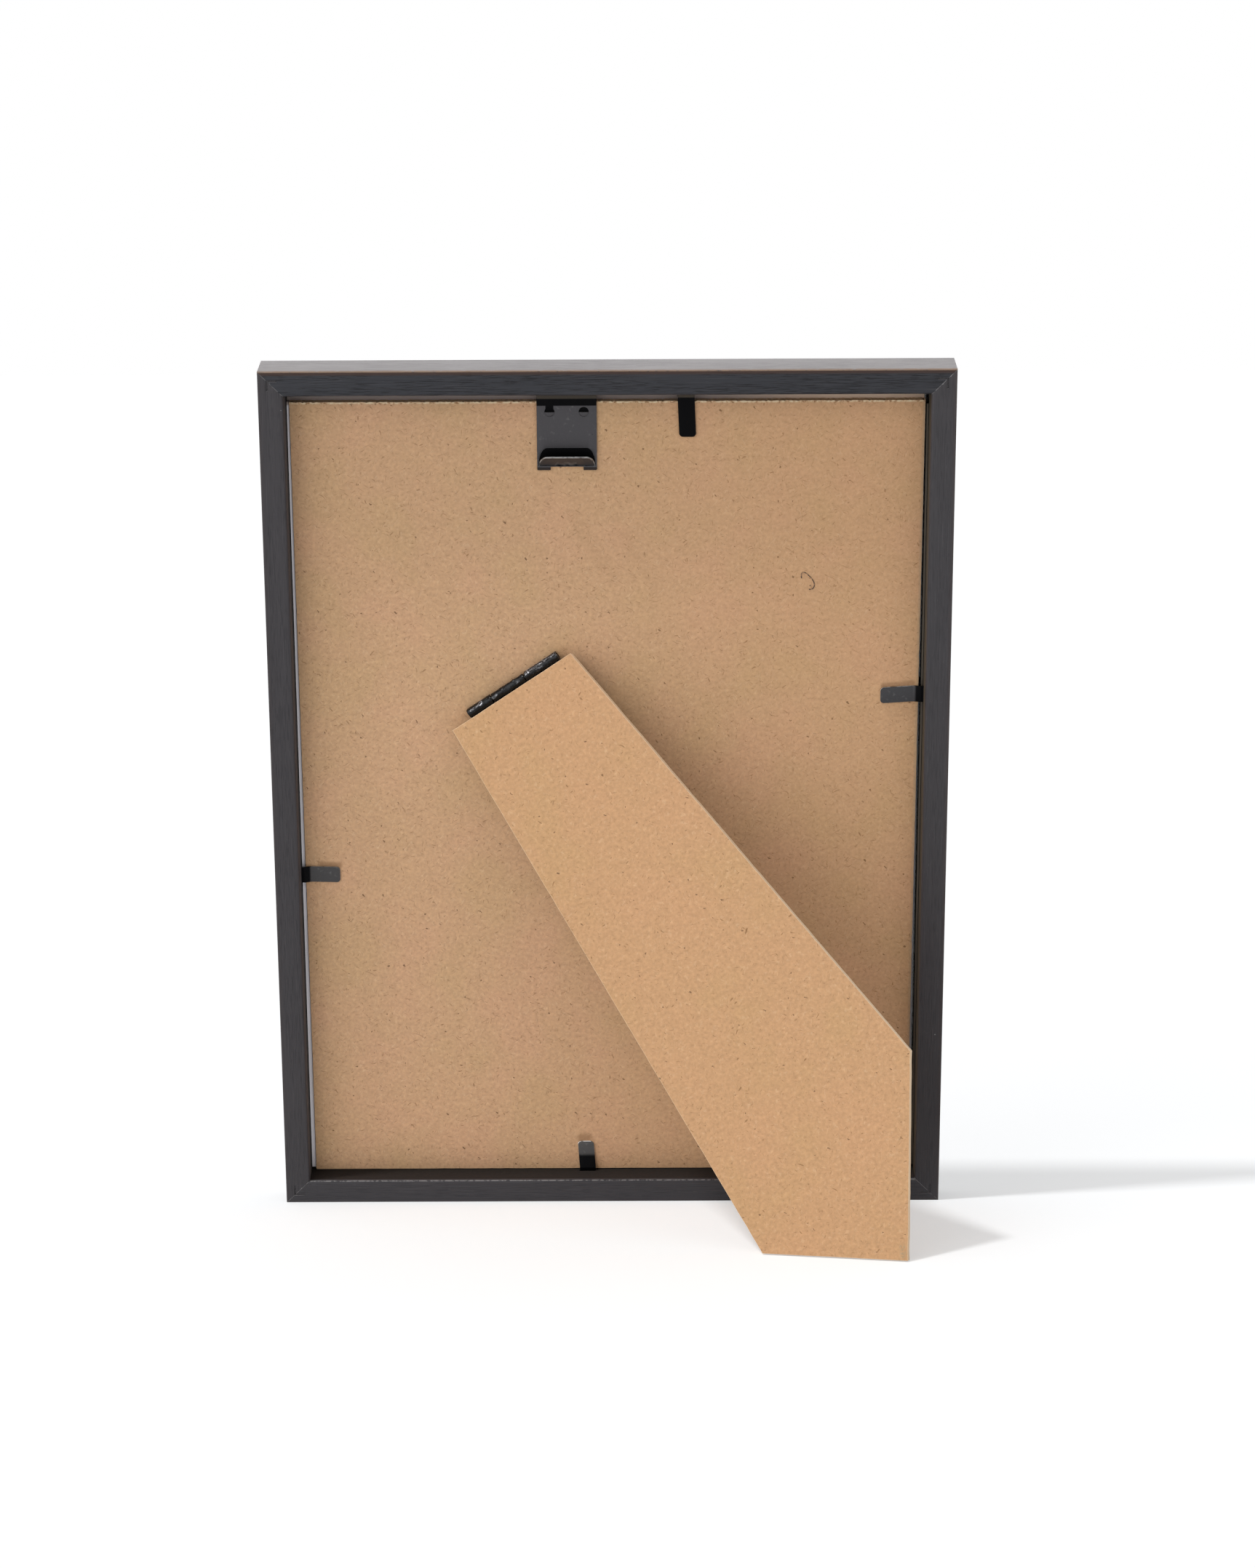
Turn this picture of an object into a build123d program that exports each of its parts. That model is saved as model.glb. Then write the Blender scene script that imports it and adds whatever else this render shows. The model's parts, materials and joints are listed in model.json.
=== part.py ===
from build123d import *
from math import cos, radians, sin, tan
import os

# An easel back photo frame that stands on its lower back edge and on the foot of its open leg.
# Millimetres and degrees, +Z up. The back of the frame faces -Y, and +X is to the right of that view.
# The origin lies on the table, in the middle of the box around the frame and its leg.

# The photo that the frame takes
photo_width = 150.0
photo_height = 200.0
photo_clearance = 1.0  # from the photo's edge to the rebate wall, each side

# The moulding that the four rails are cut from
rail_wall = 6.0  # width of the back face, from the outer face to the rebate
frame_depth = 12.0
lip_width = 5.0  # front lip, from the rebate wall inwards
lip_depth = 1.6
outer_round = 0.3
inner_round = 0.7
front_round = 0.5

# One bent steel nail across each mitre, driven in from the back
nail_inset = 2.0  # from the outer faces of the corner to the nail's bend
nail_wing = 2.6
nail_thickness = 0.45
nail_depth = 6.0
nail_sink = 0.2  # below the back face

# The layers in the rebate, from the front: clear sheet, paper insert, fibreboard back
sheet_clearance = 0.3
glazing_thickness = 1.2
insert_thickness = 0.25
board_thickness = 2.3
board_side_trim = 0.5  # board narrower than the photo
board_end_trim = 0.9  # board shorter than the photo
board_seat_gap = 0.1  # board to the bottom rail, on which it sits
board_shift = -0.2  # board off the middle, sideways

# How it stands
lean_angle = 12.8
leg_opening = 24.0

# The leg's hinge, on a slanting axis across the board
hinge_offset_x = -23.2  # middle of the hinge from the middle of the frame
hinge_offset_y = 28.1
hinge_tilt = 34.15
hinge_width = 26.4
pin_radius = 0.6
pin_clearance = 0.04
pin_recess = 0.15  # pin's ends inside the knuckles' ends
leaf_thickness = 0.6
leaf_length = 14.0
leaf_relief = 0.34  # from a knuckle to the other leaf
barrel_gap = 0.06  # from the knuckles to the board
knuckle_left = 6.6
knuckle_right = 5.8
knuckle_middle = 9.4
knuckle_gap = 0.6  # between the left and the middle knuckle
stop_lip = 0.4  # heel of each outer knuckle, past the barrel
stop_gap = 0.05  # heel to the board, with the leg open

# Teeth that hold each leaf in its board
prong_width = 2.0
prong_thickness = 0.6
prong_depth = 1.6
prong_clearance = 0.05
prong_spread = 14.0  # between the two columns
prong_inset = 3.0  # from the leaf's two ends

# The leg, a flat board with one foot for each way up
leg_thickness = 2.5
leg_top_gap = 0.36  # from the knuckles to the leg's top edge
leg_left = 18.2  # from the middle of the hinge to the top corners
leg_right = 16.5
leg_left_flare = 0.49
leg_right_flare = 9.11
leg_side_inset = 3.4  # from the frame's side to the side foot, level with the frame's bottom
leg_side_draft = 1.4

# Steel tabs that hold the board in, each with a root in its rail and a blade that bends up
tab_width = 4.0
tab_corner = 0.9
strip_thickness = 0.45
strip_gap = 0.05  # from the blade to the board
bend_rise = 1.0  # from the board to the bend
bend_offset = 0.8  # from the rail to the bend
bend_radius = 0.42
bend_clearance = 0.05
knee_radius = 0.8
root_depth = 4.2
root_taper = 1.8
root_point = 0.5  # share of the width left at the root's end
root_clearance = 0.05

# Where each tab is along its rail from the middle, its free end and its knee from the rail
bottom_tab_at = -6.4
bottom_tab_reach = 8.1
bottom_tab_knee = 3.5
right_tab_at = 25.3
right_tab_reach = 10.4
right_tab_knee = 2.4
top_tab_at = 18.5
top_tab_reach = 11.3
top_tab_knee = 2.4
left_tab_at = -20.6
left_tab_reach = 9.5
left_tab_knee = 2.4

# The hanging plate, bent in the same way, with a tongue pushed out of its window
hanger_at = -9.7
hanger_width = 14.2
hanger_reach = 19.6
hanger_knee = 3.5
hanger_corner = 0.2
window_height = 4.4
window_width = 12.9  # at the bottom
window_crown = 8.6  # straight part of the top edge
window_foot = 1.3  # from the window's bottom edge to the plate's end
tongue_angle = 48.0
tongue_trim = 0.15  # tongue inside the window's outline
notch_width = 7.8
notch_depth = 0.85
flute_count = 3
flute_pitch = 2.0
flute_radius = 0.9
flute_depth = 0.15
flute_length = 1.6
dimple_spread = 8.1
dimple_reach = 5.4
dimple_radius = 1.2
nub_height = 0.35
nub_taper = 20.0

# Overall sizes
rebate_width = photo_width + 2 * photo_clearance
rebate_height = photo_height + 2 * photo_clearance
frame_width = rebate_width + 2 * rail_wall
frame_height = rebate_height + 2 * rail_wall
rebate_depth = frame_depth - lip_depth
board_width = photo_width - board_side_trim
board_height = photo_height - board_end_trim

# Levels behind the frame's back face, which is at zero
glazing_back = glazing_thickness - rebate_depth
insert_back = glazing_back + insert_thickness
board_back = insert_back + board_thickness
bend_level = board_back + bend_rise

# The hinge's section
bore_radius = pin_radius + pin_clearance
barrel_radius = bore_radius + leaf_thickness
axis_height = barrel_radius + barrel_gap
axis_level = board_back + axis_height
leaf_start = barrel_radius + leaf_relief
leg_top = barrel_radius + leg_top_gap

# Angles, and how far the rounded lower back edge lets the frame down
tilt = radians(hinge_tilt)
opening = radians(leg_opening)
lean = radians(lean_angle)
settle = outer_round * (cos(lean) + sin(lean) - 1)
front_reach = frame_depth * cos(lean) - front_round * (cos(lean) + sin(lean) - 1)


def meet(point_a, slope_a, point_b, slope_b):
    # crossing of two lines, each x = point x + slope * (y - point y)
    rise = point_b[0] - point_a[0] + slope_a * point_a[1] - slope_b * point_b[1]
    y = rise / (slope_a - slope_b)
    return (point_a[0] + slope_a * (y - point_a[1]), y)


def leg_outline():
    # corners on the leg's inner face: x along the hinge axis, y up the leg, from the middle of the hinge
    drop = hinge_offset_y + frame_height / 2 - axis_level * tan(lean) - settle / cos(lean)
    fall = cos(opening) * cos(tilt) + sin(opening) * tan(lean)
    foot_slope = -fall / sin(tilt)
    foot_point = (0.0, -drop / fall)
    left_top = (-leg_left, -leg_top)
    right_top = (leg_right, -leg_top)
    side_x = frame_width / 2 - leg_side_inset - hinge_offset_x
    side_y = -frame_height / 2 - hinge_offset_y
    side_point = (side_x * cos(tilt) + side_y * sin(tilt), side_y * cos(tilt) - side_x * sin(tilt))
    side_slope = tan(tilt - radians(leg_side_draft))
    left_slope = tan(radians(leg_left_flare))
    right_slope = -tan(radians(leg_right_flare))
    left_foot = meet(left_top, left_slope, foot_point, foot_slope)
    right_foot = meet(side_point, side_slope, foot_point, foot_slope)
    side_foot = meet(right_top, right_slope, side_point, side_slope)
    return [left_top, left_foot, right_foot, side_foot, right_top]


def leg_reach():
    # how far the leg's outer face stands behind the frame's lower back edge, along the table
    reaches = []
    for x, y in leg_outline():
        up_leg = y * cos(opening) + leg_thickness * sin(opening)
        out = axis_level - y * sin(opening) + leg_thickness * cos(opening)
        up = frame_height / 2 + hinge_offset_y + x * sin(tilt) + up_leg * cos(tilt)
        reaches.append(up * sin(lean) + out * cos(lean))
    return max(reaches)


# The back face leans over the leg: x to the right, y up the frame, z out of the back
standing_line = (leg_reach() - front_reach) / 2
back_plane = Plane(
    origin=(0, standing_line - frame_height / 2 * sin(lean), frame_height / 2 * cos(lean) - settle),
    x_dir=(1, 0, 0),
    z_dir=(0, -cos(lean), -sin(lean)),
)


def placed(plane, x, y, z=0.0, turn=0.0, roll=0.0):
    # a plane at a point of another one, turned about its normal, then rolled about its own x
    turned = Plane(plane * Location((x, y, z), (0, 0, turn)))
    return Plane(turned * Location((0, 0, 0), (roll, 0, 0)))


def across(plane):
    # the plane square to another one's x, with that one's y and z as its axes
    return Plane(origin=plane.origin, x_dir=plane.y_dir, z_dir=plane.x_dir)


# Each side: x along the rail, y into the frame from the rail's outer back edge
side_planes = {
    "bottom": placed(back_plane, 0, -frame_height / 2),
    "right": placed(back_plane, frame_width / 2, 0, turn=90),
    "top": placed(back_plane, 0, frame_height / 2, turn=180),
    "left": placed(back_plane, -frame_width / 2, 0, turn=-90),
}
side_lengths = {"bottom": frame_width, "right": frame_height, "top": frame_width, "left": frame_height}

# Each corner: x and y into the frame along its two rails
corner_planes = [
    placed(back_plane, -frame_width / 2, -frame_height / 2),
    placed(back_plane, frame_width / 2, -frame_height / 2, turn=90),
    placed(back_plane, frame_width / 2, frame_height / 2, turn=180),
    placed(back_plane, -frame_width / 2, frame_height / 2, turn=-90),
]

# Each tab and the hanger: x along the bend, y away from the rail's wall, z out of the back
tab_planes = {
    "bottom": placed(side_planes["bottom"], bottom_tab_at, rail_wall, bend_level),
    "right": placed(side_planes["right"], right_tab_at, rail_wall, bend_level),
    "top": placed(side_planes["top"], -top_tab_at, rail_wall, bend_level),
    "left": placed(side_planes["left"], -left_tab_at, rail_wall, bend_level),
}
tab_shapes = {
    "bottom": (bottom_tab_reach, bottom_tab_knee),
    "right": (right_tab_reach, right_tab_knee),
    "top": (top_tab_reach, top_tab_knee),
    "left": (left_tab_reach, left_tab_knee),
}
hanger_plane = placed(side_planes["top"], -hanger_at, rail_wall, bend_level)

# The hinge: x along the pin, y up the closed leg, z out of the back. The leg's plane is its inner face.
hinge_plane = placed(back_plane, hinge_offset_x, hinge_offset_y, axis_level, turn=hinge_tilt)
leg_plane = placed(hinge_plane, 0, 0, roll=-leg_opening)
leaf_plane = hinge_plane.offset(-axis_height)


def nail_face():
    far = nail_inset + nail_wing
    inner = nail_inset + nail_thickness
    Polygon(
        (nail_inset, nail_inset),
        (far, nail_inset),
        (far, inner),
        (inner, inner),
        (inner, far),
        (nail_inset, far),
        align=None,
    )


def root_face(width, near, clearance=0.0):
    half = width / 2 + clearance
    point = root_point * width / 2 + clearance
    end = -root_depth - clearance
    Polygon(
        (-half, near),
        (half, near),
        (half, end + root_taper),
        (point, end),
        (-point, end),
        (-half, end + root_taper),
        align=None,
    )


def rail_face():
    # the rail's section: x into the frame from the outer face, y out of the back
    Polygon(
        (0, 0),
        (rail_wall, 0),
        (rail_wall, -rebate_depth),
        (rail_wall + lip_width, -rebate_depth),
        (rail_wall + lip_width, -frame_depth),
        (0, -frame_depth),
        align=None,
    )
    fillet(vertices().group_by(Axis.Y)[0], front_round)
    fillet(vertices().group_by(Axis.Y)[-1].sort_by(Axis.X)[-1], inner_round)
    fillet(vertices().group_by(Axis.X)[0].sort_by(Axis.Y)[-1], outer_round)


def make_rail(side):
    plane = side_planes[side]
    half = side_lengths[side] / 2
    slots = [(tab_planes[side], tab_width)]
    if side == "top":
        slots.append((hanger_plane, hanger_width))
    with BuildPart() as rail:
        with BuildSketch(across(plane)):
            rail_face()
        extrude(amount=half, both=True)
        for end in (-1, 1):
            corner = plane.from_local_coords((end * half, 0, 0))
            split(bisect_by=Plane(corner, z_dir=plane.x_dir * end + plane.y_dir), keep=Keep.BOTTOM)
        with BuildSketch(*corner_planes):
            nail_face()
        extrude(amount=-nail_sink - nail_depth, mode=Mode.SUBTRACT)
        for slot_plane, width in slots:
            with BuildSketch(slot_plane):
                root_face(width, bend_offset, root_clearance)
            extrude(amount=strip_thickness / 2 + root_clearance, both=True, mode=Mode.SUBTRACT)
    return rail.part


def make_root(plane, width):
    with BuildPart() as root:
        with BuildSketch(plane):
            root_face(width, bend_offset)
        extrude(amount=strip_thickness / 2, both=True)
        with BuildSketch(across(plane)):
            with Locations((bend_offset, 0)):
                Circle(bend_radius + bend_clearance)
        extrude(amount=width, both=True, mode=Mode.SUBTRACT)
    return root.part


def make_blade(plane, width, reach, knee, corner):
    # a strip that slopes from its bend down to the board, then lies flat, with rounded free corners
    flat_level = strip_gap + strip_thickness / 2 - bend_rise
    with BuildPart() as blade:
        with BuildSketch(across(plane)):
            with BuildLine():
                FilletPolyline((bend_offset, 0), (knee, flat_level), (reach, flat_level), radius=knee_radius)
            trace(line_width=strip_thickness)
            with Locations((bend_offset, 0)):
                Circle(bend_radius)
        extrude(amount=width / 2, both=True)
        with BuildSketch(plane):
            with Locations((0, reach / 2)):
                Rectangle(width, reach)
            fillet(vertices().group_by(Axis.Y)[-1], corner)
        extrude(amount=reach, both=True, mode=Mode.INTERSECT)
    return blade.part


def window_face(trim=0.0):
    # arched opening, straight along the bottom and across the crown: y from its bottom edge to the rail
    half = window_width / 2 - trim
    crown = window_crown / 2
    height = window_height - trim
    Rectangle(2 * crown, 2 * height)
    with Locations((-crown, 0), (crown, 0)):
        Ellipse(half - crown, height)
    with Locations((0, height / 2)):
        Rectangle(2 * half, height, mode=Mode.INTERSECT)


def make_tongue(plane):
    # bent out of the window about its bottom edge, with flutes in the bend
    middle = -strip_thickness / 2
    out = radians(tongue_angle)
    tongue_plane = placed(plane, 0, 0, roll=tongue_angle)
    with BuildPart() as tongue:
        with BuildSketch(across(plane)):
            with BuildLine():
                Polyline(
                    ((notch_depth - window_foot) / 2, middle),
                    (0, middle),
                    (window_height * cos(out), middle + window_height * sin(out)),
                )
            trace(line_width=strip_thickness)
        extrude(amount=window_width / 2 - tongue_trim, both=True)
        with BuildSketch(tongue_plane):
            window_face(tongue_trim)
            with Locations((0, -window_foot / 2)):
                Rectangle(window_width, window_foot)
        extrude(amount=window_height, both=True, mode=Mode.INTERSECT)
        with BuildSketch(across(placed(tongue_plane, 0, 0, turn=90))):
            with GridLocations(flute_pitch, 0, flute_count, 1):
                with Locations((0, flute_radius - flute_depth)):
                    Circle(flute_radius)
        extrude(amount=flute_length, mode=Mode.SUBTRACT)
    return tongue.part


def make_hanger_plate(plane):
    face_plane = placed(plane, 0, 0, strip_gap + strip_thickness - bend_rise)
    window_plane = placed(face_plane, 0, hanger_reach - window_foot, turn=180)
    dimples = [(-dimple_spread / 2, dimple_reach), (dimple_spread / 2, dimple_reach)]
    blank = make_blade(plane, hanger_width, hanger_reach, hanger_knee, hanger_corner)
    tongue = make_tongue(window_plane)
    with BuildPart() as plate:
        add(blank)
        with BuildSketch(window_plane):
            window_face()
        extrude(amount=-strip_thickness, mode=Mode.SUBTRACT)
        with BuildSketch(face_plane):
            with Locations((0, hanger_reach)):
                Rectangle(notch_width, 2 * notch_depth)
        extrude(amount=-strip_thickness, mode=Mode.SUBTRACT)
        with BuildSketch(face_plane):
            with Locations(*dimples):
                Circle(dimple_radius)
        extrude(amount=nub_height, taper=nub_taper)
        with BuildSketch(face_plane.offset(-strip_thickness)):
            with Locations(*dimples):
                Circle(dimple_radius)
            with Locations((0, dimple_reach - dimple_radius / 2)):
                Rectangle(hanger_width, dimple_radius, mode=Mode.INTERSECT)
        extrude(amount=strip_thickness + nub_height, mode=Mode.SUBTRACT)
        add(tongue)
    return plate.part


def leaf_plate(left, right):
    # flat of a leaf, below the knuckles, with a strap up to each of its own
    with Locations((0, -(leaf_start + leaf_length) / 2)):
        Rectangle(hinge_width, leaf_length - leaf_start)
    for start, end in zip(left, right):
        with Locations(((start + end) / 2, -leaf_start / 2)):
            Rectangle(end - start, leaf_start)


def prong_faces(clearance=0.0):
    rows = leaf_length - leaf_start - 2 * prong_inset
    with Locations((0, -(leaf_start + leaf_length) / 2)):
        with GridLocations(prong_spread, rows, 2, 2):
            Rectangle(prong_width + 2 * clearance, prong_thickness + 2 * clearance)


os.makedirs("parts", exist_ok=True)


def keep(part, name):
    part.label = name
    export_step(part, f"parts/{name}.step")


# Frame
for side in side_planes:
    keep(make_rail(side), f"{side}_rail")

with BuildPart() as corner_nails:
    with BuildSketch(*[plane.offset(-nail_sink) for plane in corner_planes]):
        nail_face()
    extrude(amount=-nail_depth)
keep(corner_nails.part, "corner_nails")

# Layers in the rebate
with BuildPart() as glazing:
    with BuildSketch(back_plane.offset(glazing_back)):
        Rectangle(rebate_width - 2 * sheet_clearance, rebate_height - 2 * sheet_clearance)
    extrude(amount=-glazing_thickness)
keep(glazing.part, "glazing")

with BuildPart() as photo_insert:
    with BuildSketch(back_plane.offset(insert_back)):
        Rectangle(rebate_width - 2 * sheet_clearance, rebate_height - 2 * sheet_clearance)
    extrude(amount=-insert_thickness)
keep(photo_insert.part, "photo_insert")

board_middle = board_seat_gap + (board_height - rebate_height) / 2
with BuildPart() as backing_board:
    with BuildSketch(back_plane.offset(board_back)):
        with Locations((board_shift, board_middle)):
            Rectangle(board_width, board_height)
    extrude(amount=-board_thickness)
    with BuildSketch(leaf_plane):
        prong_faces(prong_clearance)
    extrude(amount=-prong_depth - prong_clearance, mode=Mode.SUBTRACT)
keep(backing_board.part, "backing_board")

# Tabs and hanger
for side, plane in tab_planes.items():
    reach, knee = tab_shapes[side]
    keep(make_root(plane, tab_width), f"{side}_tab_root")
    keep(make_blade(plane, tab_width, reach, knee, tab_corner), f"{side}_tab_blade")
keep(make_root(hanger_plane, hanger_width), "hanger_root")
keep(make_hanger_plate(hanger_plane), "hanger_plate")

# Hinge
left_end = -hinge_width / 2
middle_start = left_end + knuckle_left + knuckle_gap
right_start = hinge_width / 2 - knuckle_right
pin_plane = across(hinge_plane)

with BuildPart() as hinge_board_leaf:
    with BuildSketch(leaf_plane):
        leaf_plate([middle_start], [middle_start + knuckle_middle])
    extrude(amount=leaf_thickness)
    with BuildSketch(pin_plane.offset(middle_start)):
        Circle(barrel_radius)
    extrude(amount=knuckle_middle)
    with BuildSketch(pin_plane):
        Circle(bore_radius)
    extrude(amount=hinge_width, both=True, mode=Mode.SUBTRACT)
    with BuildSketch(leaf_plane):
        prong_faces()
    extrude(amount=-prong_depth)
keep(hinge_board_leaf.part, "hinge_board_leaf")

with BuildPart() as hinge_leg_leaf:
    with BuildSketch(leg_plane.offset(-leaf_thickness)):
        leaf_plate([left_end, right_start], [left_end + knuckle_left, hinge_width / 2])
    extrude(amount=leaf_thickness)
    for start, length in ((left_end, knuckle_left), (right_start, knuckle_right)):
        with BuildSketch(pin_plane.offset(start)):
            Circle(barrel_radius)
        extrude(amount=length)
        with BuildSketch(leaf_plane.offset(stop_gap)):
            with Locations((start + length / 2, (barrel_radius + stop_lip) / 2)):
                Rectangle(length, barrel_radius + stop_lip)
        extrude(amount=leaf_thickness)
    with BuildSketch(pin_plane):
        Circle(bore_radius)
    extrude(amount=hinge_width, both=True, mode=Mode.SUBTRACT)
    with BuildSketch(leg_plane):
        prong_faces()
    extrude(amount=prong_depth)
keep(hinge_leg_leaf.part, "hinge_leg_leaf")

with BuildPart() as hinge_pin:
    with BuildSketch(pin_plane):
        Circle(pin_radius)
    extrude(amount=hinge_width / 2 - pin_recess, both=True)
keep(hinge_pin.part, "hinge_pin")

# Leg
with BuildPart() as easel_leg:
    with BuildSketch(leg_plane):
        with BuildLine():
            Polyline(*leg_outline(), close=True)
        make_face()
    extrude(amount=leg_thickness)
    with BuildSketch(leg_plane):
        prong_faces(prong_clearance)
    extrude(amount=prong_depth + prong_clearance, mode=Mode.SUBTRACT)
keep(easel_leg.part, "easel_leg")
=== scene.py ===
import json
import math
import random
import bmesh
import bpy
from mathutils import Matrix, Vector, noise
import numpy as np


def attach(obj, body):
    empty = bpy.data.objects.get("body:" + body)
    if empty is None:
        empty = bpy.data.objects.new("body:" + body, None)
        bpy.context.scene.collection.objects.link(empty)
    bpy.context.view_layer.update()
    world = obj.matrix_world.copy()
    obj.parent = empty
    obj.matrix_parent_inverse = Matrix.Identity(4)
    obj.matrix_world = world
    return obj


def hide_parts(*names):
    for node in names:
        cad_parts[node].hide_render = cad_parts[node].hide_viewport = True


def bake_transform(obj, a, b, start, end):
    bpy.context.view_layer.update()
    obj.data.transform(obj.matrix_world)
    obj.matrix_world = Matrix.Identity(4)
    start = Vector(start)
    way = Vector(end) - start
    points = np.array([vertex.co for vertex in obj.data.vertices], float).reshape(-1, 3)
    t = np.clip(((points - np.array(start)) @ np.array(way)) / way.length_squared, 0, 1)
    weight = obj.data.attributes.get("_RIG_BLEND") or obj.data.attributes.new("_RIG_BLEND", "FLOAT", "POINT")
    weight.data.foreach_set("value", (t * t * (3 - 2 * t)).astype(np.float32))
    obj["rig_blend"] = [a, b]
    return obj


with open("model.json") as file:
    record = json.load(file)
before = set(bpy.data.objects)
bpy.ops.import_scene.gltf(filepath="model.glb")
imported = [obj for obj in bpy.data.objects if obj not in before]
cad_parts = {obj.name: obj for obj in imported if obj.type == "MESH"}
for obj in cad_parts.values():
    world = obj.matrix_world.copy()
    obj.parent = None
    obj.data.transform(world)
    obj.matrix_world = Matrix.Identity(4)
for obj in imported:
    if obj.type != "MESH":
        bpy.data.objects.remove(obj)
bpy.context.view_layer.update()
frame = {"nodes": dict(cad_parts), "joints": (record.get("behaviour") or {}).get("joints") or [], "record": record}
nodes = frame["nodes"]
scene = bpy.context.scene
scene.view_settings.view_transform = "Standard"
print("frame loaded,", len(nodes), "nodes")

mm, perMetre = 0.001, 1000
size = {  # mm, with levels from the rails' backs
    "width": 164.0, "height": 214.0,
    "wall": 6.0,  # from a rail's outer face to the rebate
    "rebate": 10.4,
    "boardBack": -6.65,
    "bendLevel": -5.65, "bendOffset": 0.8,  # where the strips of steel bend, and how far from the rail
}
# the frame's own axes, from the middle of its back: across it, up it and out of it
mounts = {mount["name"]: mount for mount in frame["record"]["mounts"]}
joints = {joint["name"]: joint for joint in frame["joints"]}
across = Vector((1, 0, 0))
outward = Vector(mounts["wall_face"]["axis"]).normalized()
upward = -Vector(mounts["base_face"]["axis"]).normalized()
backMiddle = Vector(mounts["wall_face"]["pos_m"]) - upward * (size["height"] - size["wall"]) / (2 * perMetre)


def placeAt(origin, xAxis, yAxis, zAxis):
    # a place on the object that takes millimetres
    grid = Matrix((xAxis, yAxis, zAxis)).transposed() * mm
    return Matrix.Translation(origin) @ grid.to_4x4()


def onBack(u, v, w=0.0):
    return backMiddle + (across * u + upward * v + outward * w) * mm


def tone(red, green, blue):
    return (red, green, blue, 1.0)


class Wire:
    # a socket that can stand in a sum: each sign adds its Math node
    def __init__(self, finish, socket):
        self.finish = finish
        self.socket = socket

    def maths(self, kind, first, second=0.0):
        return self.finish.node("ShaderNodeMath", {"operation": kind}, {0: first, 1: second})

    def __add__(self, other):
        return self.maths("ADD", self, other)

    def __radd__(self, other):
        return self.maths("ADD", other, self)

    def __sub__(self, other):
        return self.maths("SUBTRACT", self, other)

    def __rsub__(self, other):
        return self.maths("SUBTRACT", other, self)

    def __mul__(self, other):
        return self.maths("MULTIPLY", self, other)

    def __rmul__(self, other):
        return self.maths("MULTIPLY", other, self)

    def __truediv__(self, other):
        return self.maths("DIVIDE", self, other)

    def __pow__(self, other):
        return self.maths("POWER", self, other)

    def __abs__(self):
        return self.maths("ABSOLUTE", self)

    def atMost(self, other):
        return self.maths("MINIMUM", self, other)

    def atLeast(self, other):
        return self.maths("MAXIMUM", self, other)

    def over(self, limit):
        return self.maths("GREATER_THAN", self, limit)

    def rise(self, low, high):
        # soft step from 0 at low to 1 at high
        inputs = {"Value": self, "From Min": low, "From Max": high}
        return self.finish.node("ShaderNodeMapRange", {"interpolation_type": "SMOOTHSTEP"}, inputs)

    def fall(self, low, high):
        return 1.0 - self.rise(low, high)


class Finish:
    # one material, or the world, and the nodes that it is made of
    def __init__(self, name, store=bpy.data.materials):
        self.owner = store.new(name)
        self.owner.use_nodes = True
        self.tree = self.owner.node_tree
        self.tree.nodes.clear()

    def node(self, kind, settings=None, inputs=None, out=0):
        made = self.tree.nodes.new(kind)
        for name, value in (settings or {}).items():
            setattr(made, name, value)
        for name, value in (inputs or {}).items():
            if isinstance(value, Wire):
                self.tree.links.new(value.socket, made.inputs[name])
            else:
                made.inputs[name].default_value = value
        return Wire(self, made.outputs[out]) if made.outputs else None

    def place(self, origin, *axes):
        # the piece's own coordinates along some axes, in millimetres
        spot = self.node("ShaderNodeTexCoord", out="Object")
        offset = self.node("ShaderNodeVectorMath", {"operation": "SUBTRACT"}, {0: spot, 1: tuple(origin)})
        return [self.dot(offset, axis * perMetre) for axis in axes]

    def dot(self, vector, axis):
        inputs = {0: vector, 1: tuple(axis)}
        return self.node("ShaderNodeVectorMath", {"operation": "DOT_PRODUCT"}, inputs, "Value")

    def facing(self, axis):
        # how much the surface faces along an axis of the piece
        return self.dot(self.node("ShaderNodeTexCoord", out="Normal"), axis)

    def noise(self, x, y, z, detail=2.0, rough=0.5):
        spot = self.node("ShaderNodeCombineXYZ", None, {0: x, 1: y, 2: z})
        inputs = {"Vector": spot, "Scale": 1.0, "Detail": detail, "Roughness": rough}
        return self.node("ShaderNodeTexNoise", None, inputs)

    def specks(self, x, y, z, share, radius):
        # small dots of several sizes in a share of the cells, one cell to a unit
        spot = self.node("ShaderNodeCombineXYZ", None, {0: x, 1: y, 2: z})
        settings = {"voronoi_dimensions": "2D" if z == 0.0 else "3D"}
        inputs = {"Vector": spot, "Scale": 1.0}
        near = self.node("ShaderNodeTexVoronoi", settings, inputs, "Distance")
        cell = self.node("ShaderNodeTexVoronoi", settings, inputs, "Color")
        pick = self.node("ShaderNodeSeparateColor", None, {0: cell})
        grown = self.node("ShaderNodeSeparateColor", None, {0: cell}, 1)
        return (near * (0.7 + grown * 1.3)).fall(radius * 0.65, radius) * pick.over(1.0 - share)

    def mix(self, share, first, second, kind="MIX"):
        settings = {"data_type": "RGBA", "blend_type": kind}
        return self.node("ShaderNodeMix", settings, {0: share, 6: first, 7: second}, 2)

    def bump(self, height, depth):
        # height from 0 to 1, depth in millimetres
        return self.node("ShaderNodeBump", None, {"Height": height, "Strength": 1.0, "Distance": depth * mm})

    def shader(self, inputs):
        return self.node("ShaderNodeBsdfPrincipled", None, inputs)

    def carried(self, name, out):
        # what the mesh itself carries at each point or face
        return self.node("ShaderNodeAttribute", {"attribute_name": name}, None, out)

    def apart(self, vector):
        return [self.node("ShaderNodeSeparateXYZ", None, {0: vector}, axis) for axis in range(3)]

    def done(self, surface, outlet="ShaderNodeOutputMaterial"):
        self.node(outlet, None, {"Surface": surface})
        return self.owner


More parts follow.
